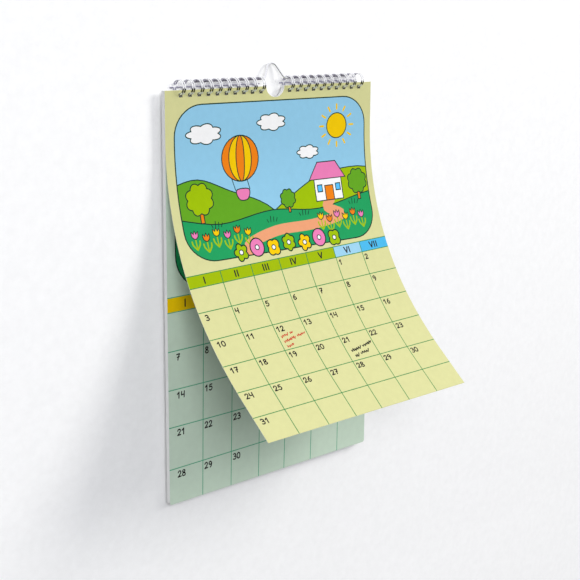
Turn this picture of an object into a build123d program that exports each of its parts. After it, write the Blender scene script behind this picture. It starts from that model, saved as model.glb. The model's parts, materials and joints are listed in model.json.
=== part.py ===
from build123d import *
import os
from math import atan2, cos, pi, radians, sin, sqrt, tan

# A wire-bound wall calendar that hangs from a bent wire. The wall is on the +Y side, the pages face -Y,
# and the origin is the underside of the hanger's crown, where it bears on a hook.

os.makedirs("parts", exist_ok=True)

# Paper
page_width = 210.0
page_height = 297.0
sheet_thickness = 0.25
leaves_behind = 12
corner_radius = 2.0

# Bend of the front leaf, measured along the sheet from its top edge
leaf_length = 258.6
leaf_flat = 34.0
bend_radius = 220.0
bend_angle = 38.3
foot_radius = 286.0
foot_angle = 8.9

# Punching
hole_pitch = 8.467
first_hole = 14.7
least_end_margin = 11.0
hole_margin = 2.35
hole_clearance = 0.5
hang_clearance = 0.05
stack_setback = 0.5
notch_radius = 9.3

# Twin-loop wire. Each loop is drawn with straight runs, so that forty of them stay light.
loop_diameter = 10.4
wire_diameter = 0.9
twin_spacing = 1.9
link_bend = 0.9
seam_angle = -90.0
seam_gap = 2.2
wire_sides = 6
loop_runs = 10
link_steps = 2
tip_steps = 2

# Hanger
hanger_diameter = 1.6
hanger_sides = 12
lean_angle = 18.0
hump_rise = 11.4
hump_foot = 2.8
crown_half_width = 3.3
bend_ratio = 0.95
loops_past_arm = 2

# Loops: as many on each side of the notch as the width has room for
holes_per_side = 1 + int((page_width / 2 - least_end_margin - first_hole) / hole_pitch)

# Hanger: the hump leans back to the wall, and its arms lie inside the tops of the loops
lean = radians(lean_angle)
arm_to_hook = hump_rise - hanger_diameter / 2
arm_y = -arm_to_hook * sin(lean)
arm_z = -arm_to_hook * cos(lean)
arm_start = first_hole - twin_spacing / 2 - wire_diameter
arm_end = first_hole + (holes_per_side - loops_past_arm) * hole_pitch - hole_pitch / 2
hump_half_width = arm_start - hump_foot
leg_turn = atan2(hump_rise, hump_half_width - crown_half_width)
crown_radius = bend_ratio * crown_half_width / tan(leg_turn / 2)
foot_bend_radius = bend_ratio * hump_foot / tan(leg_turn / 2)

# Loops: the arms bear on the flats at the loops' tops
loop_radius = loop_diameter / 2
loop_around = 2 * pi * loop_radius - seam_gap
tip_start = loop_around - twin_spacing / 2
run_turn = (tip_start - link_bend) / loop_runs / loop_radius
loop_clear = (loop_radius - wire_diameter / 2) * cos(run_turn / 2)
loop_y = arm_y
loop_z = arm_z + hanger_diameter / 2 - loop_clear

# Paper: the stack hangs by its holes on the loops' lowest runs, set back from the loops' middle
block_thickness = leaves_behind * sheet_thickness
stack_thickness = block_thickness + sheet_thickness
stack_reach = stack_setback + stack_thickness / 2
block_back = loop_y + stack_reach
block_front = block_back - block_thickness
hole_size = twin_spacing + wire_diameter + hole_clearance
hole_top = loop_z - sqrt(loop_clear**2 - stack_reach**2) + hang_clearance
page_top = hole_top + hole_margin
hole_middle = hole_top - hole_size / 2
hole_places = [side * (first_hole + n * hole_pitch) for side in (-1, 1) for n in range(holes_per_side)]


def page_openings():
    """Draws the binding holes and the half-round thumb notch in a sheet's own plane."""
    with Locations(*[(x, hole_middle) for x in hole_places]):
        Rectangle(hole_size, hole_size)
    with Locations((0, page_top)):
        Circle(notch_radius)


def wire_section(across, around, heading):
    """Plane square to the binding wire, at a point of its path as if the loops were unrolled."""
    turn = radians(seam_angle) + around / loop_radius
    outward = Vector(0, -sin(turn), -cos(turn))
    onward = Vector(0, -cos(turn), sin(turn))
    along = Vector(cos(radians(heading)), 0, 0) + onward * sin(radians(heading))
    return Plane(Vector(across, loop_y, loop_z) + outward * loop_radius, x_dir=outward, z_dir=along)


# Hanger: one wire, bent into a hump between two straight arms
hanger_plane = Plane((0, arm_y, arm_z), x_dir=(1, 0, 0), z_dir=(0, -cos(lean), sin(lean)))
with BuildPart() as hanger:
    with BuildLine(hanger_plane) as hanger_path:
        FilletPolyline(
            (-arm_end, 0),
            (-hump_half_width, 0),
            (-crown_half_width, hump_rise),
            (crown_half_width, hump_rise),
            (hump_half_width, 0),
            (arm_end, 0),
            radius=[foot_bend_radius, crown_radius, crown_radius, foot_bend_radius],
        )
    with BuildSketch(Plane(hanger_path.line @ 0, z_dir=hanger_path.line % 0)):
        RegularPolygon(hanger_diameter / 2, hanger_sides)
    sweep()
hanger.part.label = "hanger"
export_step(hanger.part, "parts/hanger.step")

# One twin loop of the binding wire, from the middle of a link to the middle of the next. The wire leaves
# the seam at the back, runs round the loop, turns in a hairpin tip and comes back beside itself.
half_twin = twin_spacing / 2
loop_half = [(-hole_pitch / 2, 0, 0)]
for step in range(link_steps + 1):
    angle = 90 * step / link_steps
    bend_in = link_bend * sin(radians(angle)) - link_bend - half_twin
    loop_half.append((bend_in, link_bend * (1 - cos(radians(angle))), angle))
for step in range(1, loop_runs + 1):
    loop_half.append((-half_twin, link_bend + step * run_turn * loop_radius, 90))
for step in range(1, tip_steps + 1):
    angle = 90 * step / tip_steps
    tip_rise = half_twin * sin(radians(angle))
    loop_half.append((-half_twin * cos(radians(angle)), tip_start + tip_rise, 90 - angle))
loop_back = [(-across, around, -heading) for across, around, heading in reversed(loop_half[:-1])]
with BuildPart() as twin_loop:
    for station in loop_half + loop_back:
        with BuildSketch(wire_section(*station)):
            RegularPolygon(wire_diameter / 2, wire_sides, major_radius=False, rotation=180 / wire_sides)
    loft(ruled=True)

# Binding wires: one continuous wire of loops on each side of the notch
with BuildPart() as left_binding_wire:
    with Locations(*[(x, 0, 0) for x in hole_places if x < 0]):
        add(twin_loop.part)
left_binding_wire.part.label = "left_binding_wire"
export_step(left_binding_wire.part, "parts/left_binding_wire.step")

with BuildPart() as right_binding_wire:
    with Locations(*[(x, 0, 0) for x in hole_places if x > 0]):
        add(twin_loop.part)
right_binding_wire.part.label = "right_binding_wire"
export_step(right_binding_wire.part, "parts/right_binding_wire.step")

# Page block: the leaves of the later months, lying flat together
with BuildPart() as page_block:
    with BuildSketch(Plane.XZ.offset(-block_back)):
        with Locations((0, page_top - page_height / 2)):
            Rectangle(page_width, page_height)
    extrude(amount=block_thickness)
    fillet(page_block.edges().filter_by(Axis.Y).group_by(Axis.Z)[0], radius=corner_radius)
    with BuildSketch(Plane.XZ.offset(-block_back)):
        page_openings()
    extrude(amount=block_thickness, mode=Mode.SUBTRACT)
page_block.part.label = "page_block"
export_step(page_block.part, "parts/page_block.step")

# Front leaf: one sheet that lies flat below the binding, then bends out from the block
leaf_tail = leaf_length - leaf_flat - radians(bend_angle) * bend_radius - radians(foot_angle) * foot_radius
with BuildPart() as front_leaf:
    with BuildSketch(Plane.YZ):
        with BuildLine() as leaf_bend:
            flat = Line((block_front, page_top), (block_front, page_top - leaf_flat))
            bend = JernArc(flat @ 1, flat % 1, bend_radius, -bend_angle)
            foot = JernArc(bend @ 1, bend % 1, foot_radius, -foot_angle)
            Line(foot @ 1, foot @ 1 + foot % 1 * leaf_tail)
            offset(amount=sheet_thickness, side=Side.RIGHT)
        make_face()
    extrude(amount=page_width / 2, both=True)
    with BuildSketch(Plane.XZ.offset(-block_front)):
        page_openings()
    extrude(amount=sheet_thickness, mode=Mode.SUBTRACT)
front_leaf.part.label = "front_leaf"
export_step(front_leaf.part, "parts/front_leaf.step")
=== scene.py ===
import bpy
import json
import numpy as np
import random
from math import atan2, ceil, cos, hypot, pi, radians, sin
from mathutils import Matrix, Vector
from mathutils.geometry import delaunay_2d_cdt


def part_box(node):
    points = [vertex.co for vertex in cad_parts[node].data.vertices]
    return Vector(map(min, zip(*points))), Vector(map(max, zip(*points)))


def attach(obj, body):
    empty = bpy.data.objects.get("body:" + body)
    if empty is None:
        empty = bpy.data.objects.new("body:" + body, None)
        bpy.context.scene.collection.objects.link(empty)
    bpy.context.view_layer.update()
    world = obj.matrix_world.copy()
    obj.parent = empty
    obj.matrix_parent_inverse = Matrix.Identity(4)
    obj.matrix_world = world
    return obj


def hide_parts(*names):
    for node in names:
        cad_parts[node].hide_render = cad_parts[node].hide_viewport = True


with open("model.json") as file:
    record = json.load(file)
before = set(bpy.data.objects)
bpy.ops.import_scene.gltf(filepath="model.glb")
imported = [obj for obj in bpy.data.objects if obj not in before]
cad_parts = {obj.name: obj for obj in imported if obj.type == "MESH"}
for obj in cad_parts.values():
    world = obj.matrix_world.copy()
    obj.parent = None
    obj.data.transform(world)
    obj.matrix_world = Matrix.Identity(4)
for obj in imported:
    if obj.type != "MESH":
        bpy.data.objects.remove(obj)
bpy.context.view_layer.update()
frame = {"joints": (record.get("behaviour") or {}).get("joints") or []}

# Page block: the leaves of the later months, cut from heavy matt paper, printed, punched in one stack
# and held by the binding alone. They lie flat, and their edges stand a hair apart as trimmed sheets do.
# The first one carries the next month: a framed picture, a weekday band and a ruled grid of numbers.
mm = 0.001
block_low, block_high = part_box("page_block")
page_width = (block_high.x - block_low.x) / mm
page_height = (block_high.z - block_low.z) / mm
page_top = block_high.z / mm
block_front = block_low.y / mm
block_back = block_high.y / mm
block_leaves = 12
leaf_gap = 0.03
trim_play = 0.12
block_corner = 2.0
hole_pitch = 8.467
first_hole = 14.7
holes_per_side = 10
hole_size = 3.3
hole_margin = 2.35
notch_radius = 9.3
hole_middle = hole_margin + hole_size / 2
hole_reach = 0.6 * hole_size
hole_places = [side * (first_hole + n * hole_pitch) for side in (-1, 1) for n in range(holes_per_side)]


def linear(red, green, blue):
    """A colour as it is seen on paper, from 0 to 255, as the light values that a shader takes."""
    shares = [value / 255 for value in (red, green, blue)]
    light = [share / 12.92 if share <= 0.04045 else ((share + 0.055) / 1.055) ** 2.4 for share in shares]
    return (*light, 1)


def socket_group(name, inputs, outputs):
    """An empty node group with the named sockets, and its two end nodes."""
    group = bpy.data.node_groups.new(name, "ShaderNodeTree")
    for label, kind in inputs:
        group.interface.new_socket(label, in_out="INPUT", socket_type=kind)
    for label, kind in outputs:
        group.interface.new_socket(label, in_out="OUTPUT", socket_type=kind)
    return group, group.nodes.new("NodeGroupInput"), group.nodes.new("NodeGroupOutput")


def grain(group, scale, detail, low, high):
    """Noise in the piece's own space, spread between two values."""
    place = group.nodes.new("ShaderNodeTexCoord")
    noise = group.nodes.new("ShaderNodeTexNoise")
    noise.inputs["Scale"].default_value = scale
    noise.inputs["Detail"].default_value = detail
    spread = group.nodes.new("ShaderNodeMapRange")
    spread.inputs["From Min"].default_value = 0.25
    spread.inputs["From Max"].default_value = 0.75
    spread.inputs["To Min"].default_value = low
    spread.inputs["To Max"].default_value = high
    group.links.new(place.outputs["Object"], noise.inputs["Vector"])
    group.links.new(noise.outputs["Fac"], spread.inputs["Value"])
    return spread.outputs["Result"]


def tinted(group, colour, shade):
    """A colour made lighter and darker by a value near one."""
    mix = group.nodes.new("ShaderNodeMix")
    mix.data_type = "RGBA"
    mix.blend_type = "MULTIPLY"
    mix.inputs["Factor"].default_value = 1
    group.links.new(colour, mix.inputs["A"])
    group.links.new(shade, mix.inputs["B"])
    return mix.outputs["Result"]


# Paper fibre: cloudy formation a few millimetres across, and fibres under half a millimetre
paper_fibre, fibre_in, fibre_out = socket_group(
    "paper fibre",
    [("Ink", "NodeSocketColor")],
    [("Colour", "NodeSocketColor"), ("Roughness", "NodeSocketFloat"), ("Height", "NodeSocketFloat")],
)
cloudy = tinted(paper_fibre, fibre_in.outputs["Ink"], grain(paper_fibre, 190, 2, 0.975, 1.02))
fibres = tinted(paper_fibre, cloudy, grain(paper_fibre, 2600, 3, 0.97, 1.02))
paper_fibre.links.new(fibres, fibre_out.inputs["Colour"])
paper_fibre.links.new(grain(paper_fibre, 900, 2, 0.52, 0.68), fibre_out.inputs["Roughness"])
paper_fibre.links.new(grain(paper_fibre, 2200, 4, 0, 1), fibre_out.inputs["Height"])


def surfaced(name, group, colour_socket, colour, relief):
    """A material that takes its colour, roughness and relief from a node group."""
    material = bpy.data.materials.new(name)
    material.use_nodes = True
    tree = material.node_tree
    shader = tree.nodes["Principled BSDF"]
    effect = tree.nodes.new("ShaderNodeGroup")
    effect.node_tree = group
    effect.inputs[colour_socket].default_value = colour
    bump = tree.nodes.new("ShaderNodeBump")
    bump.inputs["Distance"].default_value = relief
    bump.inputs["Strength"].default_value = 0.4
    tree.links.new(effect.outputs["Colour"], shader.inputs["Base Color"])
    tree.links.new(effect.outputs["Roughness"], shader.inputs["Roughness"])
    tree.links.new(effect.outputs["Height"], bump.inputs["Height"])
    tree.links.new(bump.outputs["Normal"], shader.inputs["Normal"])
    return material


fibre_relief = 0.00002
matt_gloss = 0.1


def ink(name, *colour):
    """Printed paper of one colour."""
    material = surfaced(name, paper_fibre, "Ink", linear(*colour), fibre_relief)
    material.node_tree.nodes["Principled BSDF"].inputs["Specular IOR Level"].default_value = matt_gloss
    return material


inks = {
    "paper": ink("bare_paper", 246, 246, 243),
    "edge": ink("cut_paper_edge", 243, 243, 242),
    # Painted shade: the walls of the binding holes are near black, as though no light reaches into them.
    "punched": ink("punched_edge_painted_shade", 34, 34, 33),
    "mint": ink("mint_tint", 201, 220, 201),
    "teal_line": ink("teal_line", 74, 168, 128),
    "mustard": ink("mustard_band", 241, 200, 0),
    "outline": ink("drawing_outline", 22, 52, 42),
    "number": ink("number_black", 38, 36, 34),
    "sky": ink("sky_blue", 140, 193, 221),
    "lime": ink("lime_green", 151, 182, 0),
    "bush": ink("bush_green", 94, 157, 31),
    "emerald": ink("emerald_green", 30, 150, 88),
    "salmon": ink("salmon_pink", 225, 154, 113),
    "orange": ink("orange", 229, 124, 18),
    "yellow": ink("yellow", 234, 193, 0),
    "pink": ink("rose_pink", 224, 121, 174),
    "blue": ink("bright_blue", 86, 184, 238),
    "white": ink("printed_white", 237, 237, 238),
}


def smooth(points, closed=False, steps=6):
    """A curve through a few points, as a list of closer ones."""
    count = len(points)
    spans = count if closed else count - 1
    curve = []
    for n in range(spans):
        picks = [n - 1, n, n + 1, n + 2]
        near = [points[pick % count] if closed else points[min(max(pick, 0), count - 1)] for pick in picks]
        for step in range(steps):
            t = step / steps
            weights = [-t + 2 * t**2 - t**3, 2 - 5 * t**2 + 3 * t**3]
            weights += [t + 4 * t**2 - 3 * t**3, t**3 - t**2]
            pulls = list(zip(weights, near))
            curve.append(tuple(sum(pull * point[axis] for pull, point in pulls) / 2 for axis in (0, 1)))
    return curve if closed else curve + [points[-1]]


def side_of(start, end):
    """The direction square to a straight run, to the right of one who walks along it."""
    along = (end[0] - start[0], end[1] - start[1])
    size = hypot(*along) or 1
    return -along[1] / size, along[0] / size


def area(outline):
    """Twice the area of an outline, positive where it runs clockwise on the page."""
    sides = zip(outline, outline[1:] + outline[:1])
    return sum(start[0] * end[1] - end[0] * start[1] for start, end in sides)


def grown(outline, amount):
    """An outline moved outwards by an amount, or inwards by a negative one, with its corners kept."""
    reach = -amount if area(outline) > 0 else amount
    moved = []
    for before, corner, after in zip(outline[-1:] + outline[:-1], outline, outline[1:] + outline[:1]):
        first, second = side_of(before, corner), side_of(corner, after)
        share = reach / max(1 + first[0] * second[0] + first[1] * second[1], 0.5)
        x = corner[0] + share * (first[0] + second[0])
        down = corner[1] + share * (first[1] + second[1])
        moved.append((x, down))
    return moved


def ribbon(points, width, cap_steps=4):
    """The outline of a pen stroke with round ends."""
    befores, afters = points[:1] + points[:-1], points[1:] + points[-1:]
    normals = [side_of(before, after) for before, after in zip(befores, afters)]
    half = width / 2
    line = list(zip(points, normals))
    outline = [(point[0] + half * side[0], point[1] + half * side[1]) for point, side in line]
    for end, normal, back in ((points[-1], normals[-1], 1), (points[0], normals[0], -1)):
        start = atan2(back * normal[1], back * normal[0])
        for step in range(1, cap_steps):
            turn = start - pi * step / cap_steps
            outline.append((end[0] + half * cos(turn), end[1] + half * sin(turn)))
        if back == 1:
            for point, side in reversed(line):
                outline.append((point[0] - half * side[0], point[1] - half * side[1]))
    return outline


def lobed(x, down, half_width, half_height, lobes=0, depth=0.0, points=32):
    """An ellipse, or a flower or cloud shape where it has lobes."""
    outline = []
    for n in range(points):
        turn = 2 * pi * n / points
        size = 1 - depth + depth * abs(sin(lobes * turn / 2))
        outline.append((x + half_width * size * cos(turn), down + half_height * size * sin(turn)))
    return outline


def rounded_box(left, top, right, bottom, radius, steps=7):
    """A rectangle with round corners."""
    outline = []
    centres = [(right - radius, bottom - radius), (left + radius, bottom - radius)]
    centres += [(left + radius, top + radius), (right - radius, top + radius)]
    for n, (x, down) in enumerate(centres):
        for step in range(steps + 1):
            turn = pi / 2 * (n + step / steps)
            outline.append((x + radius * cos(turn), down + radius * sin(turn)))
    return outline


def box(left, top, right, bottom):
    """A rectangle's four corners."""
    return [(left, top), (right, top), (right, bottom), (left, bottom)]


def trimmed(outline):
    """An outline of the picture, brought in to just outside the picture's frame."""
    kept = []
    for x, down in outline:
        across = min(max(x, frame_left - picture_bleed), frame_right + picture_bleed)
        below = min(max(down, frame_top - picture_bleed), frame_bottom + picture_bleed)
        if (across, below) not in kept:
            kept.append((across, below))
    return kept


class PrintedPage:
    """One printed face, shape over shape, in millimetres from the page's middle and down from its top."""

    def __init__(self, tint, outline):
        self.shapes = [(tint, outline, None)]
        self.window = None

    def fill(self, colour, outline):
        if self.window:
            outline = trimmed(outline)
        self.shapes.append((colour, outline, self.window))

    def stroke(self, colour, points, width):
        self.fill(colour, ribbon(points, width))

    def drawn(self, colour, outline, line=0.9):
        self.fill("outline", grown(outline, line / 2))
        self.fill(colour, grown(outline, -line / 2))

    def punch(self):
        self.window = None
        half = hole_size / 2
        for x in hole_places:
            self.fill(None, box(x - half, hole_middle - half, x + half, hole_middle + half))
        self.fill(None, lobed(0, 0, notch_radius, notch_radius, points=36))


# Numbers: pen strokes in a box one wide and one high. Narrow signs and the gap are shares of the width.
digit_strokes = {
    "0": [[(0.5, 0), (0.12, 0.2), (0.05, 0.55), (0.2, 0.9), (0.5, 1)],
          [(0.5, 1), (0.85, 0.88), (0.97, 0.5), (0.85, 0.15), (0.5, 0)]],
    "1": [[(0.12, 0.3), (0.6, 0)], [(0.6, 0), (0.56, 1)]],
    "2": [[(0.08, 0.25), (0.3, 0.03), (0.72, 0.05), (0.85, 0.3), (0.55, 0.65), (0.05, 1)],
          [(0.05, 1), (0.95, 0.95)]],
    "3": [[(0.1, 0.1), (0.5, 0), (0.85, 0.2), (0.7, 0.42), (0.4, 0.47)],
          [(0.4, 0.47), (0.85, 0.56), (0.92, 0.8), (0.6, 1), (0.08, 0.92)]],
    "4": [[(0.12, 0.02), (0.04, 0.56)], [(0.04, 0.56), (0.86, 0.5)], [(0.92, 0), (0.84, 1)]],
    "5": [[(0.88, 0.02), (0.25, 0.04)], [(0.25, 0.04), (0.15, 0.45)],
          [(0.15, 0.45), (0.6, 0.38), (0.92, 0.6), (0.75, 0.92), (0.4, 1), (0.05, 0.9)]],
    "6": [[(0.75, 0.02), (0.3, 0.25), (0.08, 0.65)], [(0.08, 0.65), (0.2, 0.95), (0.55, 1), (0.9, 0.8)],
          [(0.9, 0.8), (0.75, 0.52), (0.4, 0.48), (0.08, 0.65)]],
    "7": [[(0.05, 0.06), (0.92, 0.02)], [(0.92, 0.02), (0.55, 0.5), (0.38, 1)],
          [(0.22, 0.54), (0.8, 0.48)]],
    "8": [[(0.5, 0.45), (0.15, 0.28), (0.25, 0.05), (0.55, 0)], [(0.55, 0), (0.86, 0.18), (0.5, 0.45)],
          [(0.5, 0.45), (0.1, 0.7), (0.22, 0.96), (0.5, 1)],
          [(0.5, 1), (0.88, 0.92), (0.86, 0.65), (0.5, 0.45)]],
    "9": [[(0.9, 0.3), (0.6, 0.02), (0.2, 0.1), (0.1, 0.35)],
          [(0.1, 0.35), (0.35, 0.52), (0.7, 0.48), (0.9, 0.3)], [(0.9, 0.3), (0.84, 0.7), (0.5, 1)]],
    "I": [[(0.5, 0), (0.5, 1)]],
    "V": [[(0, 0), (0.5, 1)], [(0.5, 1), (1, 0)]],
}
narrow_signs = {"I": 0.35}
letter_gap = 0.28


def write(page, text, left, top, width, height, pen, colour):
    """Writes digits or Roman numerals."""
    for sign in text:
        wide = width * narrow_signs.get(sign, 1)
        for stroke in digit_strokes[sign]:
            line = [(left + wide * x, top + height * down) for x, down in stroke]
            page.stroke(colour, smooth(line, steps=4), pen)
        left += wide + letter_gap * width


# Layout of a month on a page of full height, ruled by eye: each column line leans from top to foot
print_margin = 0.05
print_edge = page_width / 2 - print_margin
column_top = 145.0
frame_left, frame_top, frame_right, frame_bottom = -97, 12, 98, 139
frame_corner = 25
frame_line = 1.0
picture_bleed = 2
picture_frame = rounded_box(frame_left, frame_top, frame_right, frame_bottom, frame_corner, 10)
grid_width = 0.7
number_width, number_height, number_pen = 3.1, 4.4, 1.0
number_indent, number_drop = 1.7, 2.5
label_width, label_height, label_pen = 3.8, 5.0, 1.2
weekday_numerals = ("I", "II", "III", "IV", "V", "VI", "VII")
title_inks = ("lime", "pink", "yellow", "lime", "yellow", "pink", "lime")
title_petals = ((5, 0.3), (0, 0), (4, 0.25), (6, 0.22))
title_left, title_pitch, title_down, title_hop = -49, 16.2, 135.5, 2.2


def rule_at(rule, x):
    """How far down a rule is, at a place across the page."""
    left, right = rule
    return left + (right - left) * (x / page_width + 0.5)


def crossing(column, rule):
    """The place where a column line meets a rule."""
    top, foot = column
    x = top
    for _ in range(3):
        x = top + (foot - top) * (rule_at(rule, x) - column_top) / (page_height - column_top)
    return x, rule_at(rule, x)


def month_page(tint, line, corners, band_inks, first_column, days, indent, columns, rules, picture):
    """A whole month: picture, row of blossoms, weekday band under the first rule, grid and numbers."""
    page = PrintedPage(tint, corners)
    window = grown(picture_frame, -frame_line / 2)
    page.fill("outline", grown(picture_frame, frame_line / 2))
    page.fill("sky", window)
    page.window = window
    picture(page)
    page.window = None
    for n, colour in enumerate(title_inks):
        x = title_left + title_pitch * n
        down = title_down - title_hop * (n % 2)
        petals, depth = title_petals[n % len(title_petals)]
        page.drawn(colour, lobed(x, down, 6.8, 7.8, petals, depth, 40), 1.1)
        page.drawn("white", lobed(x, down, 1.9, 2.1, points=20), 0.8)
    column_lines = [(-print_edge, -print_edge), *columns, (print_edge, print_edge)]
    for n, colour in enumerate(band_inks):
        left, right = column_lines[n:n + 2]
        over = [crossing(left, rules[0]), crossing(right, rules[0])]
        under = [crossing(right, rules[1]), crossing(left, rules[1])]
        page.fill(colour, over + under)
        numeral = weekday_numerals[n]
        wide = sum(label_width * (narrow_signs.get(sign, 1) + letter_gap) for sign in numeral)
        middle = sum(x for x, down in over + under) / 4
        high = sum(down for x, down in over + under) / 4 - label_height / 2
        write(page, numeral, middle - wide / 2, high, label_width, label_height, label_pen, "number")
    half = grid_width / 2
    for left, right in rules:
        ends = [(-print_edge, left - half), (print_edge, right - half)]
        ends += [(print_edge, right + half), (-print_edge, left + half)]
        page.fill(line, ends)
    for column in columns:
        x, down = crossing(column, rules[0])
        foot = page_height - print_margin
        ends = [(x - half, down), (x + half, down), (column[1] + half, foot), (column[1] - half, foot)]
        page.fill(line, ends)
    for day in range(1, days + 1):
        row, column = divmod(first_column + day - 1, 7)
        x, down = crossing(column_lines[column], rules[1 + row])
        left = x + (number_indent if column else indent)
        write(page, str(day), left, down + number_drop, number_width, number_height, number_pen, "number")
    return page


def cloud(page, x, down, size):
    """A white cloud."""
    page.drawn("white", lobed(x, down, size, size * 0.5, 7, 0.22, 56))


def seaside(page):
    """A made-up bay with a sailing boat, a headland and a beach."""
    page.drawn("yellow", lobed(-58, 42, 11, 11))
    for x, down, size in ((-20, 36, 14), (34, 30, 18), (76, 48, 11)):
        cloud(page, x, down, size)
    page.drawn("blue", box(-110, 78, 110, 150))
    for x, down in ((-20, 88), (8, 96), (66, 90), (80, 101), (-36, 101)):
        wave = [(x, down), (x + 4, down - 1.5), (x + 8, down), (x + 12, down - 1.5)]
        page.stroke("white", smooth(wave), 1)
    page.drawn("white", smooth([(30, 44), (33, 60), (31, 82), (10, 83)], True))
    page.drawn("orange", smooth([(35, 52), (50, 66), (55, 82), (36, 83)], True))
    page.drawn("pink", smooth([(6, 87), (58, 86), (50, 97), (16, 97)], True))
    headland = [(-110, 68), (-82, 66), (-62, 80), (-56, 100), (-70, 150), (-115, 150)]
    page.drawn("emerald", smooth(headland, True))
    beach = [(-70, 150), (-40, 118), (0, 112), (50, 117), (110, 108), (110, 152)]
    page.drawn("yellow", smooth(beach, True))
    parasol = [(60, 108), (66, 94), (78, 90), (90, 96), (94, 110), (77, 106)]
    page.drawn("pink", smooth(parasol, True))
    page.stroke("outline", [(77, 106), (73, 130)], 1.2)


def inside(outline, places):
    """Which of the places lie in an outline, also where the outline crosses itself."""
    across, down = places[:, 0], places[:, 1]
    winding = np.zeros(len(places), int)
    for (x0, d0), (x1, d1) in zip(outline, outline[1:] + outline[:1]):
        side = (x1 - x0) * (down - d0) - (across - x0) * (d1 - d0)
        winding += (d0 <= down) & (d1 > down) & (side > 0)
        winding -= (d0 > down) & (d1 <= down) & (side < 0)
    return winding != 0


def cut_sheet(shapes, rules):
    """Cuts a flat page along its outlines and rules. Gives places, triangles and each one's top ink."""
    points, cuts = [], []
    for colour, outline, window in shapes:
        first = len(points)
        count = len(outline)
        points += [Vector((x, -down)) for x, down in outline]
        cuts += [(first + n, first + (n + 1) % count) for n in range(count)]
    for down in rules:
        cuts.append((len(points), len(points) + 1))
        points += [Vector((-page_width / 2, -down)), Vector((page_width / 2, -down))]
    corners, _, triangles, _, _, _ = delaunay_2d_cdt(points, cuts, [], 1, 1e-5)
    places = [(corner.x, -corner.y) for corner in corners]
    middles = np.array([[places[n] for n in triangle] for triangle in triangles]).mean(axis=1)
    layers = np.full(len(triangles), None)
    for colour, outline, window in shapes:
        covered = inside(outline, middles)
        if window:
            covered &= inside(window, middles)
        layers[covered] = colour
    kept = [tuple(triangle) for triangle, colour in zip(triangles, layers) if colour]
    return places, kept, [colour for colour in layers if colour]


def in_a_hole(across, down):
    """Whether a place on the page's rim belongs to a binding hole."""
    nearest = min(abs(across - x) for x in hole_places)
    return max(nearest, abs(down - hole_middle)) < hole_reach


def paper_sheet(shapes, place, thickness, rules=()):
    """A closed sheet: a printed face, a bare back and the cut edge between them."""
    front, faces, colours = cut_sheet(shapes, rules)
    bare = [shapes[0]] + [shape for shape in shapes if shape[0] is None]
    back, back_faces, _ = cut_sheet(bare, rules)
    behind = {(round(x, 3), round(down, 3)): n + len(front) for n, (x, down) in enumerate(back)}
    sides = {side for face in faces for side in zip(face, face[1:] + face[:1])}
    for a, b in sorted(side for side in sides if side[::-1] not in sides):
        far_a, far_b = [behind[round(front[n][0], 3), round(front[n][1], 3)] for n in (a, b)]
        faces.append((b, a, far_a, far_b))
        # Edges round a binding hole take the near-black painted shade.
        colours.append("punched" if in_a_hole(*front[a]) and in_a_hole(*front[b]) else "edge")
    for face in back_faces:
        faces.append(tuple(n + len(front) for n in reversed(face)))
        colours.append("paper")
    corners = [place(x, down, 0) for x, down in front] + [place(x, down, thickness) for x, down in back]
    return corners, faces, colours


def paper_piece(name, sheets):
    """One object from one or more sheets. Faces and backs are smooth, and cut edges are flat."""
    corners, faces, colours = [], [], []
    for sheet_corners, sheet_faces, sheet_colours in sheets:
        faces += [tuple(n + len(corners) for n in face) for face in sheet_faces]
        corners += [Vector(p) * mm for p in sheet_corners]
        colours += sheet_colours
    mesh = bpy.data.meshes.new(name)
    mesh.from_pydata(corners, [], faces)
    used = sorted(set(colours))
    for colour in used:
        mesh.materials.append(inks[colour])
    mesh.polygons.foreach_set("material_index", [used.index(colour) for colour in colours])
    cut_sides = set()
    for polygon, colour in zip(mesh.polygons, colours):
        polygon.use_smooth = colour not in ("edge", "punched")
        if not polygon.use_smooth:
            cut_sides.update(polygon.edge_keys)
    for side in mesh.edges:
        side.use_edge_sharp = side.key in cut_sides
    piece = bpy.data.objects.new(name, mesh)
    bpy.context.scene.collection.objects.link(piece)
    return piece


def page_corners(radius, rules=()):
    """A page's outline before punching: round lower corners, or side points where a bent one is ruled."""
    half = page_width / 2
    top = [(-half, 0), (half, 0)]
    if not radius:
        return top + [(half, down) for down in rules] + [(-half, down) for down in reversed(rules)]
    corner_steps = 5
    low_corners = rounded_box(-half, -page_height, half, page_height, radius, corner_steps)
    return top + low_corners[:2 * (corner_steps + 1)]


def laid_flat(slip, sheet_front):
    """Gives the rule that takes a place on a page to its place in the flat block."""
    def place(x, down, depth):
        return x + slip, sheet_front + depth, page_top - down
    return place


next_bands = ["mustard"] * 5 + ["lime", "lime"]
next_columns = [(-71.2, -73.6), (-42.3, -45.3), (-13.3, -16.7), (15.6, 10.8), (44.9, 40.5), (73.8, 71.6)]
next_rules = [(144, 142.6), (154.8, 153), (183, 180.5), (211.3, 211), (239, 239.5), (270.5, 269.5)]
next_corners = page_corners(block_corner)
next_month = month_page(
    "mint", "teal_line", next_corners, next_bands, 1, 30, 7.8, next_columns, next_rules, seaside
)
next_month.punch()
bare_page = PrintedPage("paper", next_corners)
bare_page.punch()
leaf_pitch = (block_back - block_front) / block_leaves
trim = random.Random(7)
block_sheets = []
for n in range(block_leaves):
    slip = 0 if n == 0 else trim.uniform(-trim_play, trim_play)
    shapes = next_month.shapes if n == 0 else bare_page.shapes
    place = laid_flat(slip, block_front + n * leaf_pitch)
    block_sheets.append(paper_sheet(shapes, place, leaf_pitch - leaf_gap))
for name, sheets in (("next_month_sheet", block_sheets[:1]), ("later_sheets", block_sheets[1:])):
    sheet = paper_piece(name, sheets)
    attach(sheet, "calendar")
    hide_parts("page_block")

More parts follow.
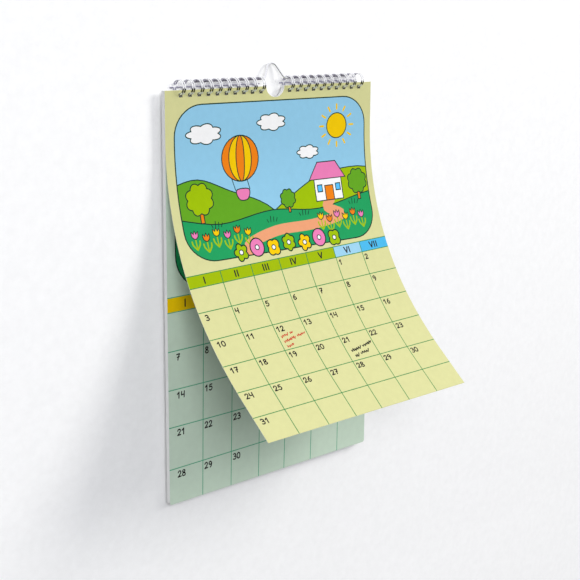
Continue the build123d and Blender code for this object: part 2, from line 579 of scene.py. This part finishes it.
# Front leaf: the sheet of the month on show, the same paper and print. It is gripped at its holes, stays
# flat under the binding and then bends out from the block to a nearly straight foot.
leaf_length = 258.6
leaf_flat = 34.0
bend_radius = 220.0
bend_angle = radians(38.3)
foot_radius = 286.0
foot_angle = radians(8.9)
leaf_thickness = 0.25
rule_spacing = 4.0
inks["straw"] = ink("straw_tint", 205, 204, 147)
inks["green_line"] = ink("green_line", 50, 130, 72)
inks["band_lime"] = ink("band_lime", 151, 175, 0)
inks["band_pale_blue"] = ink("band_pale_blue", 148, 197, 222)
inks["band_blue"] = ink("band_blue", 72, 174, 220)
inks["red_pen"] = ink("red_pen", 186, 44, 30)
inks["black_pen"] = ink("black_pen", 26, 26, 26)


def lay_bent(x, down, depth):
    """A place on the bent leaf, for a place on a flat page of full height."""
    run = down * leaf_length / page_height
    y = block_front
    z = page_top - min(run, leaf_flat)
    heading = 0.0
    for radius, angle in ((bend_radius, bend_angle), (foot_radius, foot_angle)):
        start = leaf_flat if heading == 0.0 else leaf_flat + bend_radius * bend_angle
        turn = min(max((run - start) / radius, 0), angle)
        y -= radius * (cos(heading) - cos(heading + turn))
        z -= radius * (sin(heading + turn) - sin(heading))
        heading += turn
        if turn < angle:
            break
    tail = max(run - leaf_flat - bend_radius * bend_angle - foot_radius * foot_angle, 0)
    y -= tail * sin(heading)
    z -= tail * cos(heading)
    out = leaf_thickness - depth
    return x, y - out * cos(heading), z + out * sin(heading)


def tree(page, x, down, size, colour):
    """A round tree on a short trunk."""
    page.drawn("orange", box(x - size * 0.13, down, x + size * 0.13, down + size * 1.5))
    page.drawn(colour, lobed(x, down, size, size * 1.05, 8, 0.16, 64))


def tulip(page, x, down, colour):
    """A tulip with two leaves."""
    page.stroke("lime", [(x, down), (x, down + 10)], 1.1)
    page.stroke("lime", smooth([(x, down + 10), (x - 3, down + 6), (x - 3.6, down + 3)]), 1.3)
    page.stroke("lime", smooth([(x, down + 10), (x + 3, down + 6), (x + 3.6, down + 3)]), 1.3)
    rim = [(-3, -5), (-1.2, -3), (0, -5.6), (1.2, -3), (3, -5)]
    bowl = [(3, -5), (2.8, -1), (0, 1.2), (-2.8, -1), (-3, -5)]
    bloom = rim + smooth(bowl)[1:-1]
    page.drawn(colour, [(x + across, down + below) for across, below in bloom], 0.8)


def grass(page, x, down):
    """A tuft of grass in four quick strokes."""
    for low, high, height in ((-4, -5, 2.5), (-1.5, -1, 5), (1.5, 2, 4), (4, 5.5, 3)):
        page.stroke("outline", [(x + low, down), (x + high, down - height)], 0.7)


def meadow(page):
    """A made-up spring meadow with a cottage, a balloon and tulips."""
    page.drawn("yellow", lobed(66, 37, 11, 11))
    for n in range(12):
        turn = 2 * pi * n / 12
        reach = [(66 + far * cos(turn), 37 + far * sin(turn)) for far in (14.5, 18.5)]
        page.stroke("yellow", reach, 1.7)
    for x, down, size in ((-70, 36, 17), (-4, 30, 15), (34, 58, 12)):
        cloud(page, x, down, size)
    left_hill = [(-120, 92), (-84, 72), (-48, 84), (-8, 104), (20, 150), (-120, 150)]
    page.drawn("bush", smooth(left_hill, True))
    right_hill = [(-20, 118), (16, 92), (60, 76), (112, 84), (115, 150), (0, 150)]
    page.drawn("lime", smooth(right_hill, True))
    field = [(-115, 104), (-62, 110), (-10, 104), (40, 108), (115, 100), (115, 150), (-115, 150)]
    page.drawn("emerald", smooth(field, True))
    path = [(54, 101), (48, 108), (62, 116), (30, 121), (-10, 122), (-40, 131), (-30, 142)]
    page.stroke("salmon", smooth(path), 9)
    page.drawn("pink", smooth([(-42, 84), (-30, 84), (-32, 92), (-40, 92)], True))
    for x in (-43, -29):
        page.stroke("outline", [(x * 1.04 - 1, 74), (x, 84)], 0.7)
    page.drawn("orange", lobed(-36, 58, 18, 19))
    page.drawn("yellow", lobed(-36, 58, 11, 19))
    page.drawn("orange", lobed(-36, 58, 4, 19))
    page.drawn("white", box(38, 82, 68, 102))
    page.drawn("pink", [(33, 83), (43, 68), (63, 68), (73, 83)])
    page.drawn("orange", box(49, 89, 58, 102))
    for x in (41, 61):
        page.drawn("blue", box(x, 88, x + 5, 94))
    tree(page, -78, 88, 13, "lime")
    tree(page, 86, 88, 11, "bush")
    tree(page, 8, 96, 8, "bush")
    for n, colour in enumerate(("pink", "orange", "yellow", "pink", "orange", "yellow")):
        tulip(page, -88 + 10 * n, 118 + 3 * (n % 2), colour)
        tulip(page, 84 - 9 * n, 120 - 3 * (n % 2), colour)
    for x, down in ((-66, 112), (22, 112), (-12, 114), (78, 108)):
        grass(page, x, down)


hand = random.Random(11)


def scribble(page, left, down, words, size, pen, colour):
    """A line of quick handwriting that says nothing: small climbing waves, a few for each word."""
    for waves in words:
        line = []
        for n in range(2 * waves + 1):
            reach = size * hand.uniform(0.4, 1.3)
            line.append((left + 0.3 * reach * (-1) ** n, down - reach * (-1) ** n))
            left += size * hand.uniform(0.6, 1)
            down -= 0.15 * size
        page.stroke(colour, smooth(line, steps=4), pen)
        left += size


bend_rules = []
first_rule = leaf_flat * page_height / leaf_length
rule_count = ceil((page_height - first_rule) / rule_spacing)
for n in range(rule_count):
    bend_rules.append(first_rule + (page_height - first_rule) * n / rule_count)
leaf_outline = page_corners(0, bend_rules + [page_height])
leaf_bands = ["band_lime"] * 5 + ["band_pale_blue", "band_blue"]
leaf_columns = [(-73.4, -75.8), (-43.6, -46.6), (-15.2, -18.6), (13.6, 8.8), (43.8, 39.4), (73.8, 71.6)]
leaf_rules = [(148.2, 142.2), (158.3, 151.8), (178.7, 173), (202.3, 196.7), (226, 221.7)]
leaf_rules += [(250, 248.3), (274, 273.3)]
this_month = month_page(
    "straw", "green_line", leaf_outline, leaf_bands, 5, 31, 4.6, leaf_columns, leaf_rules, meadow
)
for n, words in enumerate(((4, 2), (7, 5), (4,))):
    scribble(this_month, -42 + 0.4 * n, 212.5 + 4.8 * n, words, 1.1, 0.65, "red_pen")
for n, words in enumerate(((5, 5), (2, 4))):
    scribble(this_month, 15.5 + n, 239.5 + 5.4 * n, words, 1.3, 0.9, "black_pen")
this_month.punch()
leaf_sheet = paper_sheet(this_month.shapes, lay_bent, leaf_thickness - leaf_gap, bend_rules)
leaf = paper_piece("printed_leaf", [leaf_sheet])
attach(leaf, "leaf")
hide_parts("front_leaf")

# Binding wires: on each side of the notch, one continuous steel wire, drawn bright. It is bent flat into
# a comb of hairpin loops, pushed through the holes and squeezed round, so that the tips close on the
# links at the back.
joint_places = {joint["name"]: [value / mm for value in joint["pos_m"]] for joint in frame["joints"]}
loop_y, loop_z = joint_places["leaf_turn"][1:]
loop_radius = 5.2
wire_radius = 0.45
twin_half = 0.95
link_bend = 0.9
seam_turn = radians(-90)
seam_gap = 2.2
loop_steps = 28
turn_steps = 6
wire_relief = 0.000004


def wire_finish(name, dullest):
    """Plated wire with faint cloudy tarnish, and patches from handling as dull as the value given."""
    group, finish_in, finish_out = socket_group(
        name,
        [("Metal", "NodeSocketColor")],
        [("Colour", "NodeSocketColor"), ("Roughness", "NodeSocketFloat"), ("Height", "NodeSocketFloat")],
    )
    tone = tinted(group, finish_in.outputs["Metal"], grain(group, 240, 2, 0.94, 1.02))
    group.links.new(tone, finish_out.inputs["Colour"])
    group.links.new(grain(group, 700, 3, 0.4 * dullest, dullest), finish_out.inputs["Roughness"])
    group.links.new(grain(group, 1600, 2, 0, 1), finish_out.inputs["Height"])
    return group


def plated_metal(name, finish, metallic, *colour):
    """Bright plated wire of one tone."""
    material = surfaced(name, finish, "Metal", linear(*colour), wire_relief)
    material.node_tree.nodes["Principled BSDF"].inputs["Metallic"].default_value = metallic
    return material


def ramp(group, value, low, high):
    """A mask that rises from nothing to one as a value goes from low to high."""
    rise = group.nodes.new("ShaderNodeMapRange")
    rise.interpolation_type = "SMOOTHSTEP"
    rise.inputs["From Min"].default_value = low
    rise.inputs["From Max"].default_value = high
    group.links.new(value, rise.inputs["Value"])
    return rise.outputs["Result"]


def combined(group, operation, first, second):
    """The result of a sum on two values, each of them a socket or a number."""
    step = group.nodes.new("ShaderNodeMath")
    step.operation = operation
    for socket, value in zip(step.inputs, (first, second)):
        if isinstance(value, (int, float)):
            socket.default_value = value
        else:
            group.links.new(value, socket)
    return step.outputs["Value"]


# Painted light on the loops: short dark lines on the front of each, a painted reflection, and the same
# inside the holes as painted shade, and a lilac-grey back that is painted shade too. A band is given in
# degrees down from the loop's front: where it starts, is full, is still full and ends.
painted_dark_bands = ((2, 8, 35, 42), (67, 76, 106, 118))
back_shade_start, back_shade_full = 1.0, -4.0
painted_loop_shade, _, painted_shade_out = socket_group(
    "painted loop shade", [], [("Painted Reflection And Shade", "NodeSocketFloat"), ("Painted Back Shade", "NodeSocketFloat")]
)
loop_place = painted_loop_shade.nodes.new("ShaderNodeTexCoord")
loop_axes = painted_loop_shade.nodes.new("ShaderNodeSeparateXYZ")
painted_loop_shade.links.new(loop_place.outputs["Object"], loop_axes.inputs["Vector"])
loop_front = combined(painted_loop_shade, "SUBTRACT", loop_y * mm, loop_axes.outputs["Y"])
loop_below = combined(painted_loop_shade, "SUBTRACT", loop_z * mm, loop_axes.outputs["Z"])
loop_angle = combined(painted_loop_shade, "ARCTAN2", loop_below, loop_front)
painted_darks = 0
for start, full, still_full, end in painted_dark_bands:
    rise = ramp(painted_loop_shade, loop_angle, radians(start), radians(full))
    fall = ramp(painted_loop_shade, loop_angle, radians(end), radians(still_full))
    painted_darks = combined(painted_loop_shade, "MAXIMUM", combined(painted_loop_shade, "MULTIPLY", rise, fall), painted_darks)
painted_loop_shade.links.new(painted_darks, painted_shade_out.inputs["Painted Reflection And Shade"])
painted_back_shade = ramp(painted_loop_shade, loop_front, back_shade_start * mm, back_shade_full * mm)
painted_loop_shade.links.new(painted_back_shade, painted_shade_out.inputs["Painted Back Shade"])


def worn(tree, mask, bright, *colour):
    """A bright colour that turns to another where a mask says so."""
    mixed = tree.nodes.new("ShaderNodeMix")
    mixed.data_type = "RGBA"
    mixed.inputs["B"].default_value = linear(*colour)
    tree.links.new(mask, mixed.inputs["Factor"])
    tree.links.new(bright, mixed.inputs["A"])
    return mixed.outputs["Result"]


def wrapped(across, around):
    """A place on the wire's middle line, from its place on the comb before it is squeezed round."""
    turn = seam_turn + around / loop_radius
    return across, loop_y - loop_radius * sin(turn), loop_z - loop_radius * cos(turn)


def wire_piece(name, points, radius, material):
    """A round wire along a line of points."""
    curve = bpy.data.curves.new(name, "CURVE")
    curve.dimensions = "3D"
    spline = curve.splines.new("POLY")
    spline.points.add(len(points) - 1)
    for point, place in zip(spline.points, points):
        point.co = tuple(value * mm for value in place) + (1,)
    curve.bevel_depth = radius * mm
    curve.bevel_resolution = 4
    curve.use_fill_caps = True
    curve.materials.append(material)
    piece = bpy.data.objects.new(name, curve)
    bpy.context.scene.collection.objects.link(piece)
    return piece


loop_around = 2 * pi * loop_radius - seam_gap
tip_start = loop_around - twin_half
comb_half = [(-hole_pitch / 2, 0)]
for step in range(turn_steps + 1):
    turn = pi / 2 * step / turn_steps
    comb_half.append((-twin_half - link_bend * (1 - sin(turn)), link_bend * (1 - cos(turn))))
for step in range(1, loop_steps + 1):
    comb_half.append((-twin_half, link_bend + (tip_start - link_bend) * step / loop_steps))
for step in range(1, turn_steps + 1):
    turn = pi / 2 * step / turn_steps
    comb_half.append((-twin_half * cos(turn), tip_start + twin_half * sin(turn)))
comb = comb_half + [(-across, around) for across, around in comb_half[-2:0:-1]]
binding_metal = plated_metal("bright_binding_wire", wire_finish("satin wire", 0.42), 0.5, 248, 248, 249)
binding_tree = binding_metal.node_tree
loop_shade_node = binding_tree.nodes.new("ShaderNodeGroup")
loop_shade_node.node_tree = painted_loop_shade
binding_shader = binding_tree.nodes["Principled BSDF"]
wire_colour = binding_shader.inputs["Base Color"].links[0].from_socket
# The lilac-grey is painted shade on the loops' backs; the near-black is a painted reflection on the fronts
# and painted shade in the holes.
for mask, painted_colour in (("Painted Back Shade", (164, 161, 180)), ("Painted Reflection And Shade", (30, 30, 28))):
    wire_colour = worn(binding_tree, loop_shade_node.outputs[mask], wire_colour, *painted_colour)
binding_tree.links.new(wire_colour, binding_shader.inputs["Base Color"])
for side, name in ((-1, "left"), (1, "right")):
    wire_line = []
    for x in sorted(place for place in hole_places if place * side > 0):
        wire_line += [wrapped(x + across, around) for across, around in comb]
    wire_line.append(wrapped(wire_line[-1][0] + hole_pitch / 2 - twin_half - link_bend, 0))
    wire = wire_piece(name + "_wire_loops", wire_line, wire_radius, binding_metal)
    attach(wire, "calendar")
    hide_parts(name + "_binding_wire")

# Hanger: one thicker wire of the same bright metal, bent into a hump that carries the calendar. Its arms
# are threaded through the tops of the loops, and the hump stands in the notch and leans back.
hanger_radius = 0.8
hump_rise = 11.4
hump_half_width = 10.05
hump_foot = 2.8
crown_half_width = 3.3
lean = radians(18)
bend_ratio = 0.95
bend_steps = 8
arm_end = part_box("hanger")[1].x / mm
arm_y, arm_z = joint_places["hanger_pivot"][1:]
foot_bend = bend_ratio * hump_foot
crown_bend = bend_ratio * crown_half_width


def bent_line(corners, cut_backs):
    """A line through corners, with each inner corner rounded from a given distance before it."""
    line = [corners[0]]
    for before, corner, after, cut in zip(corners, corners[1:], corners[2:], cut_backs):
        toward = (Vector(before) - Vector(corner)).normalized()
        onward = (Vector(after) - Vector(corner)).normalized()
        for step in range(bend_steps + 1):
            t = step / bend_steps
            line.append(tuple(Vector(corner) + toward * cut * (1 - t) ** 2 + onward * cut * t**2))
    return line + [corners[-1]]


# Painted shade on the hanger: the arms turn lilac-grey where they pass through the loops, from a little way
# out from the middle
arm_shade_start, arm_shade_full = 12.0, 15.0
arm_painted_shade, _, arm_shade_out = socket_group("arm painted shade", [], [("Painted Shade", "NodeSocketFloat")])
arm_place = arm_painted_shade.nodes.new("ShaderNodeTexCoord")
arm_axes = arm_painted_shade.nodes.new("ShaderNodeSeparateXYZ")
arm_painted_shade.links.new(arm_place.outputs["Object"], arm_axes.inputs["Vector"])
from_middle = combined(arm_painted_shade, "ABSOLUTE", arm_axes.outputs["X"], 0)
arm_shade_mask = ramp(arm_painted_shade, from_middle, arm_shade_start * mm, arm_shade_full * mm)
arm_painted_shade.links.new(arm_shade_mask, arm_shade_out.inputs["Painted Shade"])

hump_half = [(arm_end, 0), (hump_half_width, 0), (crown_half_width, hump_rise)]
hump_corners = [(-x, rise) for x, rise in hump_half] + hump_half[::-1]
hanger_line = []
for x, rise in bent_line(hump_corners, (foot_bend, crown_bend, crown_bend, foot_bend)):
    hanger_line.append((x, arm_y + rise * sin(lean), arm_z + rise * cos(lean)))
hanger_metal = plated_metal("bright_hanger_wire", wire_finish("polished wire", 0.16), 1, 242, 242, 244)
hanger_tree = hanger_metal.node_tree
hanger_shader = hanger_tree.nodes["Principled BSDF"]
arm_shade_node = hanger_tree.nodes.new("ShaderNodeGroup")
arm_shade_node.node_tree = arm_painted_shade
arm_colour = hanger_shader.inputs["Base Color"].links[0].from_socket
# Painted shade: the arms go lilac-grey inside the loops.
arm_colour = worn(hanger_tree, arm_shade_node.outputs["Painted Shade"], arm_colour, 146, 142, 156)
hanger_tree.links.new(arm_colour, hanger_shader.inputs["Base Color"])
hanger = wire_piece("bent_hanger", hanger_line, hanger_radius, hanger_metal)
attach(hanger, "hanger")
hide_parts("hanger")

# Stage: a pale plain wall just behind the binding and a pale floor well below. The wall shows only from
# the front, and it lets the first light through to the calendar's back, so that the back can be seen.
wall_y = 2.6
floor_z = -800.0
stage_reach = 2600.0
stage_relief = 0.00001


def stage_plane(name, corners, material):
    """One flat stage surface."""
    mesh = bpy.data.meshes.new(name)
    mesh.from_pydata([Vector(corner) * mm for corner in corners], [], [(0, 1, 2, 3)])
    mesh.materials.append(material)
    plane = bpy.data.objects.new(name, mesh)
    bpy.context.scene.collection.objects.link(plane)
    return plane


def matt_grey(name, shade):
    """A matt surface of one grey, from black to white, with a faint mottle."""
    material = surfaced(name, paper_fibre, "Ink", (shade, shade, shade, 1), stage_relief)
    material.node_tree.nodes["Principled BSDF"].inputs["Specular IOR Level"].default_value = matt_gloss
    return material


wall_white = matt_grey("wall_white", 0.97)
wall_tree = wall_white.node_tree
rays = wall_tree.nodes.new("ShaderNodeLightPath")
facing = wall_tree.nodes.new("ShaderNodeNewGeometry")
front_only = wall_tree.nodes.new("ShaderNodeMath")
front_only.operation = "SUBTRACT"
front_only.use_clamp = True
clear = wall_tree.nodes.new("ShaderNodeBsdfTransparent")
shown = wall_tree.nodes.new("ShaderNodeMixShader")
seen = combined(wall_tree, "MAXIMUM", rays.outputs["Is Camera Ray"], rays.outputs["Is Glossy Ray"])
bounces = combined(wall_tree, "ADD", rays.outputs["Diffuse Depth"], rays.outputs["Is Shadow Ray"])
later = combined(wall_tree, "GREATER_THAN", bounces, 1.5)
wall_tree.links.new(combined(wall_tree, "MAXIMUM", seen, later), front_only.inputs[0])
wall_tree.links.new(facing.outputs["Backfacing"], front_only.inputs[1])
wall_tree.links.new(front_only.outputs["Value"], shown.inputs["Fac"])
wall_tree.links.new(clear.outputs["BSDF"], shown.inputs[1])
wall_tree.links.new(wall_tree.nodes["Principled BSDF"].outputs["BSDF"], shown.inputs[2])
wall_tree.links.new(shown.outputs["Shader"], wall_tree.nodes["Material Output"].inputs["Surface"])
stage_plane(
    "wall",
    [(-stage_reach, wall_y, floor_z), (stage_reach, wall_y, floor_z),
     (stage_reach, wall_y, stage_reach), (-stage_reach, wall_y, stage_reach)],
    wall_white,
)
floor = stage_plane(
    "floor",
    [(-stage_reach, -stage_reach, floor_z), (stage_reach, -stage_reach, floor_z),
     (stage_reach, stage_reach, floor_z), (-stage_reach, stage_reach, floor_z)],
    matt_grey("floor_white", 0.85),
)
floor.visible_diffuse = False

# Light: cool white room light, stronger from above, and two large soft lamps in front and a little above,
# the key at the right and a fill at the left. A third lamp lights the calendar's back. A dark screen low in
# front is seen by the metal alone and draws dark lines on the wires.
room_low = 0.06
room_high = 0.85
room_blend = 0.6
room_tone = (0.975, 0.985, 1.02)

# Lamps: each one's place in metres, power in watts and tone
lamp_aim = Vector((0, 0, -0.13))
lamp_size = 1.35
lamps = {
    "key_lamp": (Vector((1.88, -1.88, 1.28)), 43, (1, 0.985, 0.95)),
    "fill_lamp": (Vector((-1.243, -2.153, 0.629)), 24.5, room_tone),
    "back_lamp": (Vector((0.7, 2.3, 0.9)), 33, room_tone),
}
screen_left, screen_right, screen_near, screen_far, screen_z = -1150, 900, -1450, -20, -450
world = bpy.data.worlds.new("room")
bpy.context.scene.world = world
world.use_nodes = True
room = world.node_tree
sight = room.nodes.new("ShaderNodeLightPath")
outward = room.nodes.new("ShaderNodeTexCoord")
outward_axes = room.nodes.new("ShaderNodeSeparateXYZ")
room.links.new(outward.outputs["Generated"], outward_axes.inputs["Vector"])
upward = ramp(room, outward_axes.outputs["Z"], -room_blend, room_blend)
room_level = combined(room, "ADD", combined(room, "MULTIPLY", upward, room_high - room_low), room_low)
for kind in ("Is Camera Ray", "Is Glossy Ray", "Is Transmission Ray"):
    room_level = combined(room, "MAXIMUM", sight.outputs[kind], room_level)
room.nodes["Background"].inputs["Color"].default_value = room_tone + (1,)
room.links.new(room_level, room.nodes["Background"].inputs["Strength"])
for name, (place, power, tone) in lamps.items():
    lamp = bpy.data.lights.new(name, "AREA")
    lamp.shape = "DISK"
    lamp.size = lamp_size
    lamp.energy = power
    lamp.color = tone
    stand = bpy.data.objects.new(name, lamp)
    stand.location = place
    stand.rotation_euler = (lamp_aim - place).to_track_quat("-Z", "Y").to_euler()
    stand.visible_glossy = False
    bpy.context.scene.collection.objects.link(stand)
screen = stage_plane(
    "screen",
    [(screen_left, screen_near, screen_z), (screen_right, screen_near, screen_z),
     (screen_right, screen_far, screen_z), (screen_left, screen_far, screen_z)],
    matt_grey("screen_black", 0.01),
)
screen.visible_camera = False
screen.visible_diffuse = False
screen.visible_shadow = False
bpy.context.scene.view_settings.view_transform = "Standard"

# Camera: in front of the calendar, at its left and a little above its top, with a long lens. It looks down
# to the right, so that the bend of the leaf shows.
camera_place = Vector((-675.98, -695.0, 33.645)) * mm
camera_yaw = radians(45.069)
camera_pitch = radians(11.799)
camera_roll = radians(0.336)
camera_data = bpy.data.cameras.new("camera")
camera_data.sensor_width = 36
camera_data.lens = 81.01
camera = bpy.data.objects.new("camera", camera_data)
turned = Matrix.Rotation(-camera_yaw, 4, "Z") @ Matrix.Rotation(pi / 2 - camera_pitch, 4, "X")
camera.matrix_world = Matrix.Translation(camera_place) @ turned @ Matrix.Rotation(camera_roll, 4, "Z")
bpy.context.scene.collection.objects.link(camera)
bpy.context.scene.camera = camera
